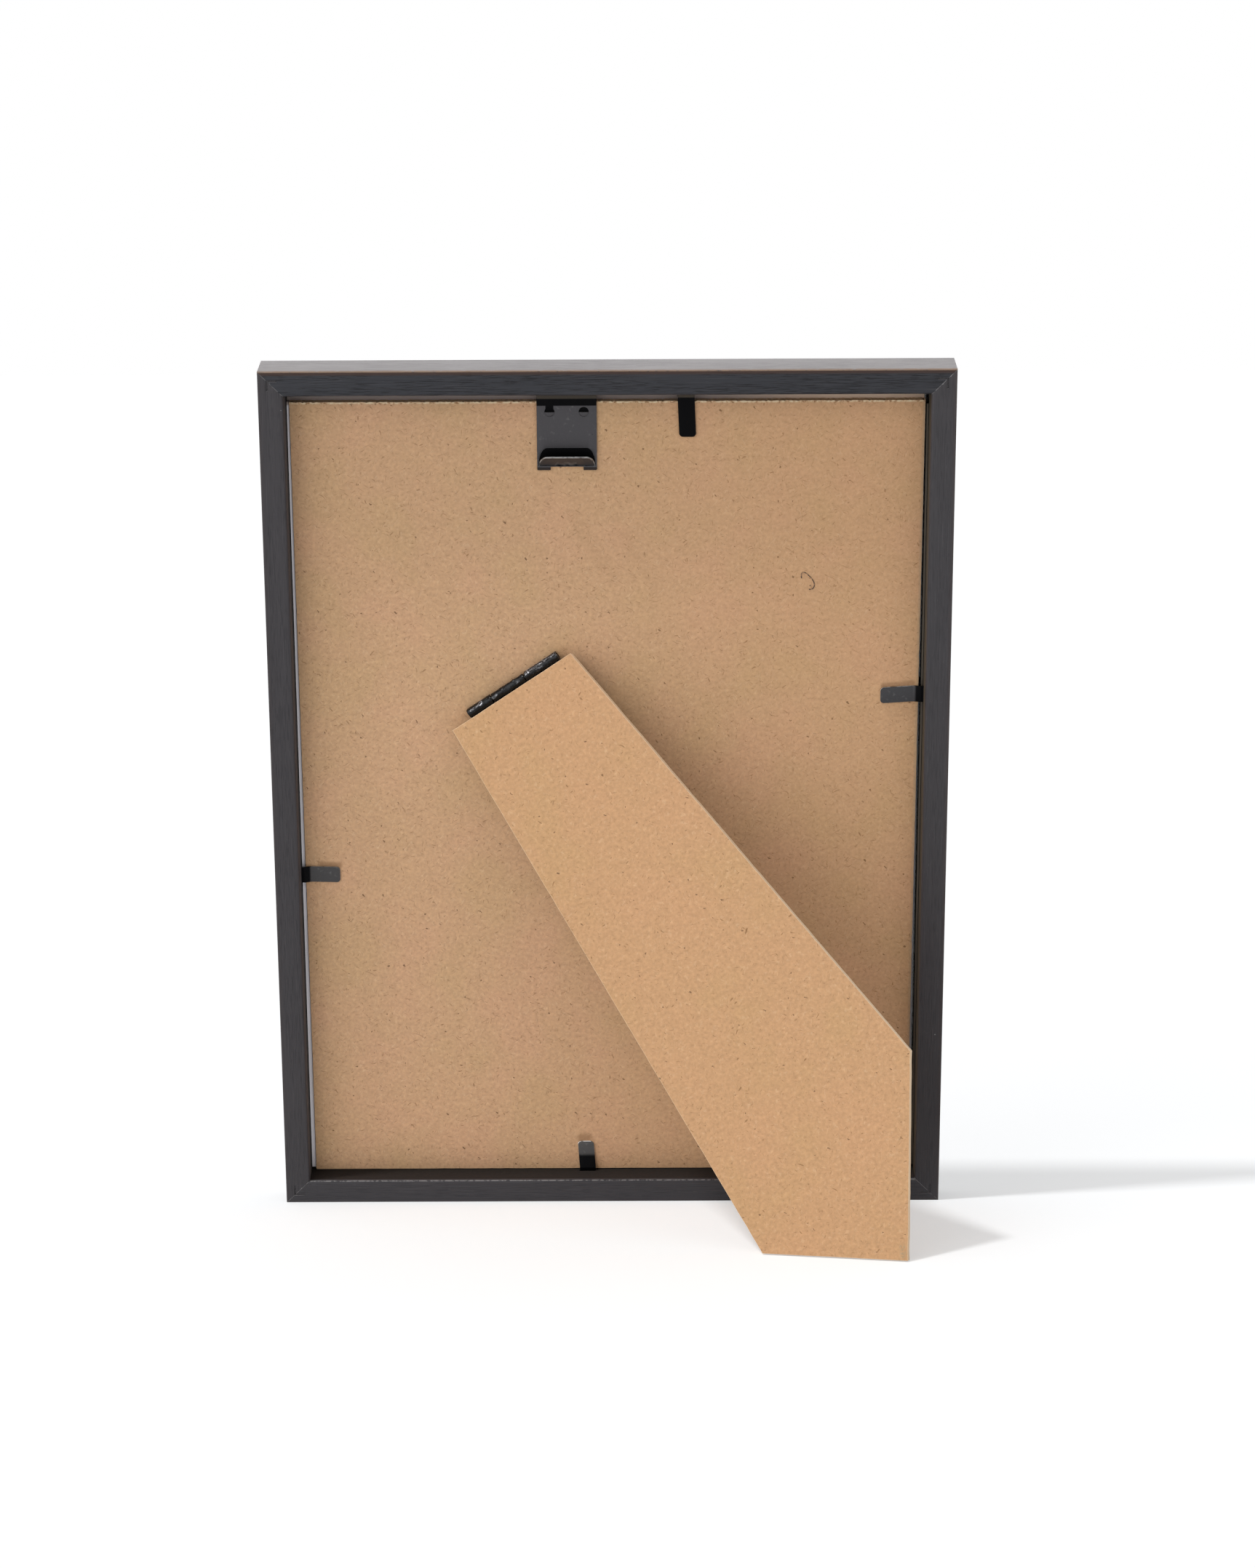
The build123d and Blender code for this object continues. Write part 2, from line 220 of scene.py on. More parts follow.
def dress(piece, material):
    piece.data.materials.clear()
    piece.data.materials.append(material)
    return piece


# Rail foil: charcoal, its grain pressed in along the rail, chipped at the mitres and rubbed at the edges
# with painted sheen on its top face, a painted highlight along the bottom rebate edge and painted shade in the
# rebate
railLook = {
    "pore": tone(0.007, 0.007, 0.009),
    "worn": tone(0.11, 0.105, 0.11),
    "core": tone(0.22, 0.14, 0.09),
    "chip": tone(0.3, 0.29, 0.285),
    "dustAndSheen": tone(0.29, 0.275, 0.278),
    "underEdgeShade": tone(0.045, 0.024, 0.018),
    "deep": tone(0.014, 0.012, 0.01),
    "roughness": 0.4,
    "specular": 0.25,
}


def railFinish(name, rail):
    foil = Finish(name)
    u, v, w = foil.place(backMiddle, across, upward, outward)
    along, side = (v, u) if rail["upright"] else (u, v)
    fromSide = size["width"] / 2 - abs(u)
    fromEnd = size["height"] / 2 - abs(v)
    fromOut = fromSide.atMost(fromEnd)
    depth = 0.0 - w
    pores = foil.noise(along * 0.2, side * 4.4, w * 4.4, 3.0).rise(0.5, 0.6)
    stretches = foil.noise(along * 0.03, side * 0.35, w * 0.35 + 5.0, 2.0).rise(0.3, 0.52)
    pores = pores * stretches * rail["pores"]
    streaks = foil.noise(along * 0.07, side * 3.7, w * 3.7 + 20.0, 3.0).rise(0.5, 0.8)
    clouds = foil.noise(u * 0.06, v * 0.06, w * 0.06 + 7.0, 2.0)
    ticks = foil.noise(along * 0.5, side * 5.0, w * 5.0 + 40.0, 1.0).rise(0.7, 0.78)
    crumbs = foil.noise(u * 0.9, v * 0.9, w * 0.9, 3.0, 0.7)
    bits = foil.specks(u * 0.16, v * 0.16, w * 0.16, 0.3, 0.035)
    colour = foil.mix(pores, rail["foil"], railLook["pore"])
    colour = foil.mix(streaks * 0.18 + ticks * 0.2 + clouds * 0.06, colour, railLook["worn"])
    # the top face is paler: dust, and painted sheen where light grazes it
    onTop = foil.facing(upward).rise(0.85, 0.97) * fromOut.fall(4.0, 5.0)
    colour = foil.mix(onTop * (0.75 + clouds * 0.3 + streaks * 0.15), colour, railLook["dustAndSheen"])
    fromMitre = abs(fromSide - fromEnd)
    mitre = fromMitre.fall(0.03, 0.16) * crumbs.rise(0.36, 0.56)
    colour = foil.mix(mitre * 0.4, colour, railLook["chip"])
    nick = fromMitre.fall(0.1, 0.4) * foil.noise(u * 1.8, v * 1.8, w * 1.8 + 3.0, 2.0).rise(0.66, 0.71)
    colour = foil.mix(nick * 0.7, colour, railLook["chip"])
    # where the foil ends at the back edge its fibre core shows, with a dark line of painted shade under it
    bare = fromOut.fall(0.1, 0.4) * depth.fall(0.6, 1.8) * crumbs.rise(0.22, 0.5)
    colour = foil.mix(bare * rail["core"], colour, railLook["core"])
    underEdgeShade = fromOut.rise(0.16, 0.3) * fromOut.fall(0.5, 1.2) * depth.fall(0.3, 0.9)
    colour = foil.mix(underEdgeShade * rail["core"] * 1.2, colour, railLook["underEdgeShade"])
    # chips along the rebate's edge; on the bottom rail they also stand in for the edge's highlight: painted
    # highlight
    inner = (size["wall"] - fromOut).atLeast(depth).fall(0.12, 0.42) * crumbs.rise(0.4, 0.56)
    colour = foil.mix(inner * rail["inner"], colour, railLook["chip"])
    colour = foil.mix(bits * 0.6, colour, railLook["chip"])
    height = 0.6 - pores * 0.5 + crumbs * 0.15 - mitre * 0.4
    skin = foil.shader({
        "Base Color": colour,
        "Roughness": railLook["roughness"] + pores * 0.2 + clouds * 0.1,
        "Specular IOR Level": railLook["specular"],
        "Normal": foil.bump(height, 0.08),
    })
    # the rebate's walls darken with depth: painted shade
    rawColour = foil.mix(depth.rise(*rail["darkens"]), rail["inside"], railLook["deep"])
    raw = foil.shader({"Base Color": rawColour, "Roughness": 0.7 + crumbs * 0.3, "Specular IOR Level": 0.1})
    inWall = fromOut.rise(size["wall"] - 0.2, size["wall"] - 0.05) * depth.rise(0.6, 1.0)
    inWall = inWall * depth.fall(size["rebate"] - 0.2, size["rebate"] - 0.1)
    return foil.done(foil.node("ShaderNodeMixShader", None, {0: inWall, 1: skin, 2: raw}))


# Fibreboard: felted fibres, dark ones and pale ones, with specks and soft clouds of pink and green
boardLook = {
    "tan": tone(0.498, 0.307, 0.174),
    "pink": tone(0.513, 0.307, 0.179),
    "green": tone(0.485, 0.306, 0.167),
    "warmShade": tone(0.42, 0.2, 0.06),
    "dark": tone(0.21, 0.11, 0.052),
    "pale": tone(0.74, 0.54, 0.36),
    "edge": tone(0.6, 0.42, 0.26),
    "grey": tone(0.22, 0.2, 0.15),
    "torn": tone(0.62, 0.52, 0.35),
    "speck": tone(0.155, 0.083, 0.045),
    "faint": 0.16, "strong": 0.36, "sliver": 0.6, "hairs": 0.18,
}
legLook = {
    "tan": tone(0.462, 0.27, 0.14),
    "pink": tone(0.47, 0.271, 0.142),
    "green": tone(0.454, 0.271, 0.136),
    "dark": tone(0.22, 0.115, 0.05),
    "pale": tone(0.76, 0.55, 0.35),
    "edge": tone(0.75, 0.58, 0.4),
    "grey": tone(0.2, 0.19, 0.13),
    "speck": tone(0.155, 0.083, 0.045),
    "faint": 0.15, "strong": 0.36, "sliver": 0.7, "hairs": 0.14,
}


def fibres(board, x, y, z, angle, length, thickness):
    # short bent fibres that lie about one way
    turn = math.radians(angle)
    bend = board.noise(x * 0.5, y * 0.5, z * 0.5 + angle, 1.0) * 1.1
    along = x * math.cos(turn) + y * math.sin(turn)
    aside = y * math.cos(turn) - x * math.sin(turn) + bend
    return board.noise(along / length, aside / thickness, z * 0.4 + angle, 0.0)


def slivers(board, x, y, angle, share):
    # longer fibres, each in a cell of its own
    turn = math.radians(angle)
    bend = board.noise(x * 0.35, y * 0.35, angle, 1.0) * 2.0
    along = x * math.cos(turn) + y * math.sin(turn) + bend
    aside = y * math.cos(turn) - x * math.sin(turn) + bend
    return board.specks(along * 0.2, aside * 0.7, 0.0, share, 0.1)


def boardFinish(name, look, origin, xAxis, yAxis, zAxis, marks):
    board = Finish(name)
    x, y, z = board.place(origin, xAxis, yAxis, zAxis)
    clouds = board.noise(x * 0.055, y * 0.055, z * 0.1, 2.0)
    felt = board.noise(x * 1.2, y * 1.2, z * 1.2, 3.0, 0.5)
    patches = board.noise(x * 0.4, y * 0.4, z * 0.4 + 11.0, 3.0)
    colour = board.mix(clouds.rise(0.5, 0.68), look["tan"], look["pink"])
    colour = board.mix(clouds.fall(0.32, 0.5), colour, look["green"])
    threads = fibres(board, x, y, z, 25.0, 1.35, 0.27)
    for angle, length, thickness in ((85.0, 1.1, 0.25), (150.0, 1.5, 0.29)):
        threads = threads.atLeast(fibres(board, x, y, z, angle, length, thickness))
    hairs = fibres(board, x, y, z + 50.0, 55.0, 1.8, 0.25)
    hairs = hairs.atLeast(fibres(board, x, y, z + 50.0, 120.0, 1.4, 0.23))
    flecks = board.noise(x * 0.9, y * 0.9, z * 0.9 + 31.0, 3.0, 0.6)
    dark = threads.rise(0.69, 0.77) * look["faint"] + threads.rise(0.78, 0.83) * look["strong"]
    longOnes = slivers(board, x, y, 20.0, 0.09).atLeast(slivers(board, x, y, 110.0, 0.09))
    dark = dark + longOnes * look["sliver"]
    dark = dark + flecks.rise(0.56, 0.76) * 0.2
    pale = hairs.rise(0.72, 0.79) * look["hairs"]
    wobble = (felt - 0.5) * 0.35
    dots = board.specks(x * 0.22 + wobble, y * 0.22 - wobble, 0.0, 0.45, 0.05)
    crumbs = board.specks(x * 0.6 + wobble, y * 0.6 - wobble, 0.0, 0.16, 0.12)
    shade = 0.67 + felt * 0.5 + patches * 0.16
    greys = board.node("ShaderNodeCombineXYZ", None, {0: shade, 1: shade, 2: shade})
    colour = board.mix(1.0, colour, greys, "MULTIPLY")
    colour = board.mix(dark + crumbs * 0.35, colour, look["dark"])
    colour = board.mix(pale + flecks.fall(0.26, 0.44) * 0.18, colour, look["pale"])
    colour = board.mix(dots * 0.9, colour, look["speck"])
    for reach, share, tint in marks(board, x, y, felt):
        colour = board.mix(reach * share, colour, look[tint])
    edge = abs(board.facing(zAxis)).fall(0.93, 0.995)
    layers = board.noise(x * 0.25, y * 0.25, z * 4.0, 3.0)
    colour = board.mix(edge * (0.5 + layers * 0.6), colour, look["edge"])
    height = felt * 0.6 + pale * 0.4 - dark * 0.3 + edge * layers * 0.6
    return board.done(board.shader({
        "Base Color": colour,
        "Roughness": 0.78 + felt * 0.15,
        "Specular IOR Level": 0.25,
        "Normal": board.bump(height, 0.09),
    }))


def stroke(x, y, start, end, halfWidth):
    # soft line between two points of a board
    stepX, stepY = end[0] - start[0], end[1] - start[1]
    span = stepX * stepX + stepY * stepY
    share = (((x - start[0]) * stepX + (y - start[1]) * stepY) / span).atLeast(0.0).atMost(1.0)
    offX = x - start[0] - share * stepX
    offY = y - start[1] - share * stepY
    return ((offX * offX + offY * offY) ** 0.5).fall(halfWidth * 0.2, halfWidth)


# marks on the boards in millimetres: start, end, half width, share
# two faint darker diagonal strokes below the hanging plate
backDiagonals = [((-8.8, 71.1), (1.5, 53.9), 2.6, 0.07), ((2.4, 67.5), (11.9, 51.2), 2.4, 0.06)]
# painted shadows on the board beside three of the tabs
backTabShadows = [  # beside three of the tabs
    ((-7.5, -92.6), (-6.3, -92.4), 2.0, 0.6),
    ((-71.0, -18.5), (-66.7, -18.8), 1.2, 0.6),
    ((66.4, 27.1), (73.2, 27.8), 1.1, 0.55),
]
legDirt = ((9.4, -165.4), (10.3, -163.4), 1.1, 0.5)  # at the tip of the foot


def backMarks(board, u, v, felt):
    rough = felt.rise(0.35, 0.65)
    for start, end, halfWidth, share in backDiagonals:
        yield stroke(u, v, start, end, halfWidth), share, "dark"
    # painted shade: darker towards the top, darker and warmer to the right, and grey along the right edge by the
    # rail
    yield v.rise(10.0, 95.0), 0.12, "dark"
    yield u.rise(-30.0, 60.0), 0.15, "warmShade"
    yield (74.72 + v * 0.0042 - u).fall(0.2, 0.9), 0.32, "grey"
    for start, end, halfWidth, share in backTabShadows:
        yield stroke(u, v, start, end, halfWidth), share, "dark"
    # torn along the top, a little green along the bottom
    yield v.rise(97.45, 97.8) * rough, 0.9, "torn"
    yield v.rise(97.3, 97.7) * felt.fall(0.36, 0.44), 0.8, "dark"
    yield v.fall(-100.8, -99.6) * rough, 0.35, "green"


def legMarks(board, x, y, felt):
    rough = felt.rise(0.4, 0.6)
    start, end, halfWidth, share = legDirt
    yield stroke(x, y, start, end, halfWidth) * rough, share, "grey"


# Steel: blackened strip, worn to grey where it lies flat, bare along its cut edges and paler there as painted
# highlight
# painted black near the rail as shade and dark reflection, and painted brown shade where it meets the rail
steelLook = {
    "black": tone(0.003, 0.003, 0.0035),
    "bare": tone(0.75, 0.74, 0.72),
    "tip": tone(0.02, 0.014, 0.011),
    "brown": tone(0.05, 0.042, 0.034),
    "roughness": 0.4,
}


def steelFinish(name, strip):
    steel = Finish(name)
    x, reach, z = steel.apart(steel.carried("rest", "Vector"))
    scuffs = steel.noise(reach * 0.6, x * 7.0, z * 4.0, 3.0).rise(0.58, 0.78)
    stains = steel.noise(reach * 0.8, x * 0.8, z * 0.8 + 4.0, 3.0)
    dots = steel.specks(reach * 0.45, x * 0.45, z * 0.45, 0.25, 0.07)
    # a black band near the rail and the hanging plate's blot below it: painted shade and dark reflection
    blackFrom, blackTo = strip["black"]
    shadeBand = reach.rise(blackFrom - 0.08, blackFrom + 0.08)
    shadeBand = shadeBand * reach.fall(blackTo - strip["fade"], blackTo + strip["fade"])
    for middle, low, high, halfWidth in strip["blots"]:
        blot = abs(x - middle).fall(halfWidth - 0.1, halfWidth + 0.1)
        shadeBand = shadeBand.atLeast(blot * reach.rise(low - 0.1, low) * reach.fall(high - 0.1, high))
    under = z.fall(-0.94, -0.9)  # what lies below the strip's flat part
    colour = steel.mix(scuffs * 0.03 + stains.rise(0.6, 0.8) * 0.05, strip["grey"], steelLook["bare"])
    colour = steel.mix(dots * 0.5, colour, steelLook["black"])
    # the cut edges are bare metal, painted pale and less metallic as a painted highlight
    rim = steel.carried("rim", "Fac") * stains.rise(0.3, 0.55)
    rim = rim * reach.rise(strip["bright"], strip["bright"] + 0.6) * strip["edge"]
    colour = steel.mix(rim, colour, steelLook["bare"])
    colour = steel.mix(reach.rise(strip["tip"], strip["tip"] + 0.15) * 0.8, colour, steelLook["tip"])
    colour = steel.mix(shadeBand.atLeast(under), colour, steelLook["black"])
    # brown near the rail on the top tab and the hanging plate: painted shade
    colour = steel.mix(reach.fall(strip["brown"] - 0.15, strip["brown"] + 0.15), colour, steelLook["brown"])
    return steel.done(steel.shader({
        "Base Color": colour,
        "Metallic": 0.75 - rim * 0.7,
        "Roughness": steelLook["roughness"] + scuffs * 0.12 + stains * 0.1,
        "Specular IOR Level": 0.12,
        "Normal": steel.bump(stains * 0.5 + scuffs * 0.4, 0.02),
    }))


# Hinge lacquer: black and glossy, dented, with painted highlights where the knuckles stand out
lacquerLook = {
    "black": tone(0.004, 0.004, 0.005),
    "scuffed": tone(0.08, 0.075, 0.08),
    "glints": tone(0.5, 0.5, 0.53),
    "dents": 0.35,  # mm
}


def lacquerFinish(name, glints):
    lacquer = Finish(name)
    x, y, z = lacquer.place(hingeMiddle, hingeAlong, hingeUp, outward)
    dents = lacquer.noise(x * 0.8, y * 0.8, z * 0.8, 2.0)
    scuffs = lacquer.noise(x * 2.4, y * 2.4, z * 2.4, 4.0, 0.7).rise(0.56, 0.72)
    grit = lacquer.noise(x * 1.6, y * 3.0, z * 3.0 + 8.0, 2.0).rise(0.4, 0.6)
    colour = lacquer.mix(scuffs * 0.3, lacquerLook["black"], lacquerLook["scuffed"])
    for start, end, halfWidth, share in glints:
        glintMask = stroke(x, y, start, end, halfWidth) * grit * share
        colour = lacquer.mix(glintMask, colour, lacquerLook["glints"])
    return lacquer.done(lacquer.shader({
        "Base Color": colour,
        "Metallic": 0.2,
        "Roughness": 0.24 + scuffs * 0.3,
        "Specular IOR Level": 0.2,
        "Coat Weight": 0.1 + scuffs * 0.2,
        "Coat Roughness": 0.1,
        "Normal": lacquer.bump(dents + scuffs * 0.15, lacquerLook["dents"]),
    }))


# Bare wire of the nails and the pin
wireGrime = tone(0.02, 0.018, 0.017)


def wireFinish(name, colour, roughness):
    wire = Finish(name)
    u, v, w = wire.place(backMiddle, across, upward, outward)
    lines = wire.noise(u * 3.0, v * 3.0, w * 0.6, 3.0)
    return wire.done(wire.shader({
        "Base Color": wire.mix(lines.rise(0.4, 0.7) * 0.5, colour, wireGrime),
        "Metallic": 1.0,
        "Roughness": roughness + lines * 0.2,
        "Normal": wire.bump(lines, 0.02),
    }))


def hairFinish(name, colour):
    hair = Finish(name)
    u, v, w = hair.place(backMiddle, across, upward, outward)
    knots = hair.noise(u * 1.6, v * 1.6, w * 1.6, 2.0)
    return hair.done(hair.shader({
        "Base Color": hair.mix(knots.rise(0.46, 0.62) * 0.5, colour, boardLook["tan"]),
        "Roughness": 0.6 + knots * 0.2,
        "Normal": hair.bump(knots, 0.03),
    }))


# Insert paper: blank and pale, with painted shade in its top and right margins
paperLook = {
    "pale": tone(0.8, 0.78, 0.82),
    "pulp": tone(0.72, 0.7, 0.74),
    "top": tone(0.32, 0.25, 0.225),
    "topRightShade": tone(0.9, 0.655, 0.48),
    "right": tone(0.08, 0.064, 0.046),
}


def paperFinish(name):
    paper = Finish(name)
    u, v, w = paper.place(backMiddle, across, upward, outward)
    pulp = paper.noise(u * 1.5, v * 1.5, w * 1.5, 4.0, 0.6)
    clouds = paper.noise(u * 0.04, v * 0.04, w * 0.04, 2.0)
    colour = paper.mix(pulp * 0.4 + clouds * 0.3, paperLook["pale"], paperLook["pulp"])
    # painted shade: brown along the top, lighter towards the right, and dark at the right edge
    marginShade = paper.mix(u.rise(18.0, 60.0), paperLook["top"], paperLook["topRightShade"])
    colour = paper.mix(v.rise(97.0, 97.6) * 0.95, colour, marginShade)
    colour = paper.mix(u.rise(74.9, 75.1), colour, paperLook["right"])
    return paper.done(paper.shader({
        "Base Color": colour,
        "Roughness": 0.6 + pulp * 0.2,
        "Normal": paper.bump(pulp, 0.02),
    }))


# Clear sheet, a little hazy and smeared
clearLook = {"clean": tone(0.95, 0.98, 0.97), "hazy": tone(0.97, 0.98, 0.98), "index": 1.49}


def clearFinish(name):
    clear = Finish(name)
    u, v, w = clear.place(backMiddle, across, upward, outward)
    haze = clear.noise(u * 0.05, v * 0.05, w * 0.05, 3.0)
    smear = clear.noise(u * 0.1, v * 0.5, w * 0.5 + 9.0, 4.0).rise(0.5, 0.8)
    return clear.done(clear.shader({
        "Base Color": clear.mix(haze, clearLook["clean"], clearLook["hazy"]),
        "Roughness": 0.012 + smear * 0.03,
        "IOR": clearLook["index"],
        "Transmission Weight": 1.0,
    }))


print("finishes written")


# Meshes: flat blanks are cut in millimetres, bent along a centre line, then put in their place
weld = 0.0005  # mm
flatAngle, sharpAngle = 0.008, 0.6  # radians, for faces that count as one and edges that get a burr


def flatBlank(outline, holes, thickness, burr):
    sheet = bmesh.new()
    rims = []
    for loop in [outline] + holes:
        points = [sheet.verts.new((x, y, -thickness / 2)) for x, y in loop]
        rims += [sheet.edges.new((points[spot - 1], points[spot])) for spot in range(len(points))]
    bmesh.ops.triangle_fill(sheet, use_beauty=True, edges=rims)
    lifted = bmesh.ops.extrude_face_region(sheet, geom=sheet.faces[:])["geom"]
    upper = [bit for bit in lifted if isinstance(bit, bmesh.types.BMVert)]
    bmesh.ops.translate(sheet, vec=(0, 0, thickness), verts=upper)
    bmesh.ops.recalc_face_normals(sheet, faces=sheet.faces[:])
    roundEdges(sheet, burr)
    return sheet


def roundEdges(solid, burr):
    bmesh.ops.dissolve_limit(solid, angle_limit=flatAngle, verts=solid.verts[:], edges=solid.edges[:])
    joined = [edge for edge in solid.edges if len(edge.link_faces) == 2]
    sharp = [edge for edge in joined if edge.calc_face_angle() > sharpAngle]
    bmesh.ops.bevel(
        solid, geom=sharp, offset=burr, segments=2, profile=0.6, affect="EDGES", clamp_overlap=True
    )


def score(sheet, point, direction):
    # a line across the faces, along which they can bend
    geometry = sheet.verts[:] + sheet.edges[:] + sheet.faces[:]
    bmesh.ops.bisect_plane(sheet, geom=geometry, dist=weld, plane_co=point, plane_no=direction)


def skinRows(sheet, rows):
    # a face between each four neighbours in rows of points
    faces = []
    for lower, upper in zip(rows, rows[1:]):
        for spot in range(len(lower) - 1):
            faces.append(sheet.faces.new((lower[spot], lower[spot + 1], upper[spot + 1], upper[spot])))
    bmesh.ops.recalc_face_normals(sheet, faces=faces)
    return faces


def finishMesh(name, solid, place, material, smoothUnder=25.0):
    mesh = bpy.data.meshes.new(name)
    rest = solid.verts.layers.float_vector.new("rest")
    for vert in solid.verts:
        vert[rest] = vert.co
    bmesh.ops.transform(solid, matrix=place, verts=solid.verts[:])
    bmesh.ops.recalc_face_normals(solid, faces=solid.faces[:])
    solid.to_mesh(mesh)
    solid.free()
    mesh.shade_smooth()
    mesh.set_sharp_from_angle(angle=math.radians(smoothUnder))
    piece = bpy.data.objects.new(name, mesh)
    scene.collection.objects.link(piece)
    return dress(piece, material)


def softCopy(name, node, edge, material):
    # the node's own shape with its hard edges taken off
    solid = bmesh.new()
    solid.from_mesh(nodes[node].data)
    bmesh.ops.scale(solid, vec=(perMetre, perMetre, perMetre), verts=solid.verts[:])
    bmesh.ops.remove_doubles(solid, verts=solid.verts[:], dist=weld)
    roundEdges(solid, edge["burr"])
    piece = finishMesh(name, solid, Matrix.Scale(mm, 4), material, edge["smooth"])
    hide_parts(node)
    return piece


def cornerArc(x, y, radius, start, end, steps):
    angles = [math.radians(start + (end - start) * step / steps) for step in range(steps + 1)]
    return [(x + radius * math.cos(angle), y + radius * math.sin(angle)) for angle in angles]


# Rails
railPieces = {
    "top": {
        "upright": False, "foil": tone(0.0225, 0.0235, 0.029), "inside": tone(0.05, 0.043, 0.04),
        "darkens": (1.5, 8.5), "pores": 0.9, "core": 0.75, "inner": 0.0,
    },
    "bottom": {
        "upright": False, "foil": tone(0.0305, 0.028, 0.0315), "inside": tone(0.024, 0.019, 0.017),
        "darkens": (1.5, 8.5), "pores": 0.35, "core": 0.06, "inner": 0.7,
    },
    "left": {
        "upright": True, "foil": tone(0.0385, 0.035, 0.0385), "inside": tone(0.08, 0.072, 0.075),
        "darkens": (1.5, 8.5), "pores": 0.35, "core": 0.06, "inner": 0.0,
    },
    "right": {
        "upright": True, "foil": tone(0.034, 0.031, 0.034), "inside": tone(0.062, 0.05, 0.036),
        "darkens": (6.5, 10.0), "pores": 0.3, "core": 0.12, "inner": 0.0,
    },
}
railEdge = {"burr": 0.07, "smooth": 32.0}  # mm, degrees
for side, rail in railPieces.items():
    piece = softCopy(side + "Rail", side + "_rail", railEdge, railFinish(side + "RailFoil", rail))
    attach(piece, "frame")
dress(nodes["corner_nails"], wireFinish("nailSteel", tone(0.068, 0.065, 0.068), 0.5))
print("rails done")

# Layers in the rebate: clear sheet, paper insert and fibreboard back
dress(nodes["glazing"], clearFinish("clearSheet"))
insertCut = {
    "corners": [(-75.97, -100.6), (74.98, -100.6), (74.98, 100.6), (-75.97, 100.6)],
    "thickness": 0.2,
    "burr": 0.04,
    "middle": -9.07,
}
insertPlace = placeAt(onBack(0, 0, insertCut["middle"]), across, upward, outward)
insertBlank = flatBlank(insertCut["corners"], [], insertCut["thickness"], insertCut["burr"])
# its margins are folded up into the gaps beside the board: wall, lower and upper end of the free edge
folds = [
    {"wall": -75.87, "low": (-74.93, -100.4), "high": (-75.38, 98.1), "level": 1.95},
    {"wall": 75.87, "low": (75.4, -100.4), "high": (75.45, 97.0), "level": 1.8},
]
foldShape = {"steps": 50, "wave": 0.12, "wavesPerMm": 0.06, "droop": 0.1, "thickness": 0.05}


def addFold(sheet, fold):
    rows = []
    for step in range(foldShape["steps"] + 1):
        share = step / foldShape["steps"]
        edge = fold["low"][0] + (fold["high"][0] - fold["low"][0]) * share
        v = fold["low"][1] + (fold["high"][1] - fold["low"][1]) * share
        wave = noise.noise(Vector((v * foldShape["wavesPerMm"], 3.0, 0.0)))
        level = fold["level"] + foldShape["wave"] * wave
        line = ((fold["wall"], v, 0.0), (fold["wall"], v, level), (edge, v, level - foldShape["droop"]))
        rows.append([sheet.verts.new(spot) for spot in line])
    bmesh.ops.solidify(sheet, geom=skinRows(sheet, rows), thickness=foldShape["thickness"])


for fold in folds:
    addFold(insertBlank, fold)
paperInsert = finishMesh("paperInsert", insertBlank, insertPlace, paperFinish("insertPaper"))
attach(paperInsert, "frame")
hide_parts("photo_insert")

# the board was cut a little out of square, and its top edge is torn
boardCut = {
    "corners": [(-74.85, -100.88), (74.3, -100.88), (75.13, 98.12), (-75.3, 98.12)],
    "ragged": [0.03, 0.04, 0.08, 0.04],
    "spacing": [2.0, 1.5, 0.4, 1.5],
    "seed": 4,
    "thickness": 2.28,
    "burr": 0.1,
    "smooth": 10.0,  # degrees
}


def raggedOutline(cut):
    # straight edges, each with its own raggedness and the spacing of its points
    draw = random.Random(cut["seed"])
    outline = []
    corners = cut["corners"]
    for spot, (x, y) in enumerate(corners):
        nextX, nextY = corners[(spot + 1) % len(corners)]
        length = math.hypot(nextX - x, nextY - y)
        steps = max(1, int(length / cut["spacing"][spot]))
        outX, outY = (nextY - y) / length, (x - nextX) / length
        for step in range(steps):
            share = step / steps
            push = 0.0 if step == 0 else -abs(draw.gauss(0, 1)) * cut["ragged"][spot]
            outline.append((x + (nextX - x) * share + outX * push, y + (nextY - y) * share + outY * push))
    return outline


boardPlace = placeAt(onBack(0, 0, size["boardBack"] - boardCut["thickness"] / 2), across, upward, outward)
boardMaterial = boardFinish("backFibreboard", boardLook, backMiddle, across, upward, outward, backMarks)
boardBlank = flatBlank(raggedOutline(boardCut), [], boardCut["thickness"], boardCut["burr"])
backBoard = finishMesh("backBoard", boardBlank, boardPlace, boardMaterial, boardCut["smooth"])
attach(backBoard, "frame")
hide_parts("backing_board")

# a curled dark fibre that lies on the back
curl = {
    "line": [
        (46.22, 54.33), (46.11, 55.15), (46.31, 55.67), (46.98, 55.83), (48.03, 54.96),
        (49.0, 53.81), (49.4, 52.77), (49.2, 51.91), (48.59, 51.41), (48.03, 51.56),
    ],
    "speck": [(48.2, 52.4), (48.32, 52.45), (48.44, 52.52)],
    "radius": 0.11,
    "lift": 0.7,  # of its radius, above the board
    "tone": tone(0.055, 0.032, 0.024),
}
curlData = bpy.data.curves.new("curledFibre", "CURVE")
curlData.dimensions = "3D"
curlData.bevel_depth = curl["radius"] * mm
curlData.bevel_resolution = 3
curlData.use_fill_caps = True
for line in (curl["line"], curl["speck"]):
    spline = curlData.splines.new("NURBS")
    spline.points.add(len(line) - 1)
    for point, (u, v) in zip(spline.points, line):
        point.co = (*onBack(u, v, size["boardBack"] + curl["radius"] * curl["lift"]), 1.0)
    spline.order_u = 3
    spline.use_endpoint_u = True
curledFibre = bpy.data.objects.new("curledFibre", curlData)
scene.collection.objects.link(curledFibre)
dress(curledFibre, hairFinish("fibreHair", curl["tone"]))
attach(curledFibre, "frame")
print("layers done")

